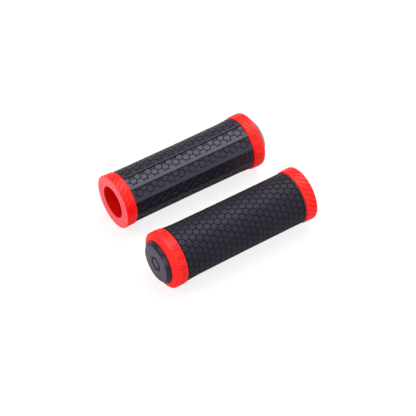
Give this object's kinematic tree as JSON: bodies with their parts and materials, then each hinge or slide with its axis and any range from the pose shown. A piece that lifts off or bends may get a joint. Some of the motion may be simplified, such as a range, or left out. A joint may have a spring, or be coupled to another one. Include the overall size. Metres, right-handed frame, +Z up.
{
  "type": "handlebar grip pair",
  "caption": "Pair of slip-on rubber handlebar grips with red end collars, hexagon scale pattern, stepped finger facets and push-in end plugs.",
  "frame": {"origin": "on the surface the grips lie on, midway between the two grips", "axes": "+X along both grips, towards the right grip's plug; +Y from the left grip to the right grip; +Z up"},
  "size_m": [0.1192, 0.1, 0.0386],
  "materials": {
    "red_rubber": "satin moulded, matte",
    "black_rubber": "satin moulded rubber with a fine grain",
    "black_plastic": "moulded satin"
  },
  "bodies": {
    "right_grip": {"right_core_sleeve": "red_rubber", "right_inboard_collar": "red_rubber", "right_outboard_collar": "red_rubber", "right_grip_cover": "black_rubber"},
    "right_end_plug": {"right_end_plug": "black_plastic"},
    "left_grip": {"left_core_sleeve": "red_rubber", "left_inboard_collar": "red_rubber", "left_outboard_collar": "red_rubber", "left_grip_cover": "black_rubber"},
    "left_end_plug": {"left_end_plug": "black_plastic"}
  },
  "joints": [
    {"name": "right_plug_pull", "type": "slide", "parent": "right_grip", "child": "right_end_plug", "axis": [1, 0, 0], "range_m": [0, 0.03]},
    {"name": "left_grip_apart", "type": "slide", "parent": "right_grip", "child": "left_grip", "axis": [0, -1, 0], "range_m": [0, 0.06]},
    {"name": "left_plug_pull", "type": "slide", "parent": "left_grip", "child": "left_end_plug", "axis": [-1, 0, 0], "range_m": [0, 0.03]}
  ]
}
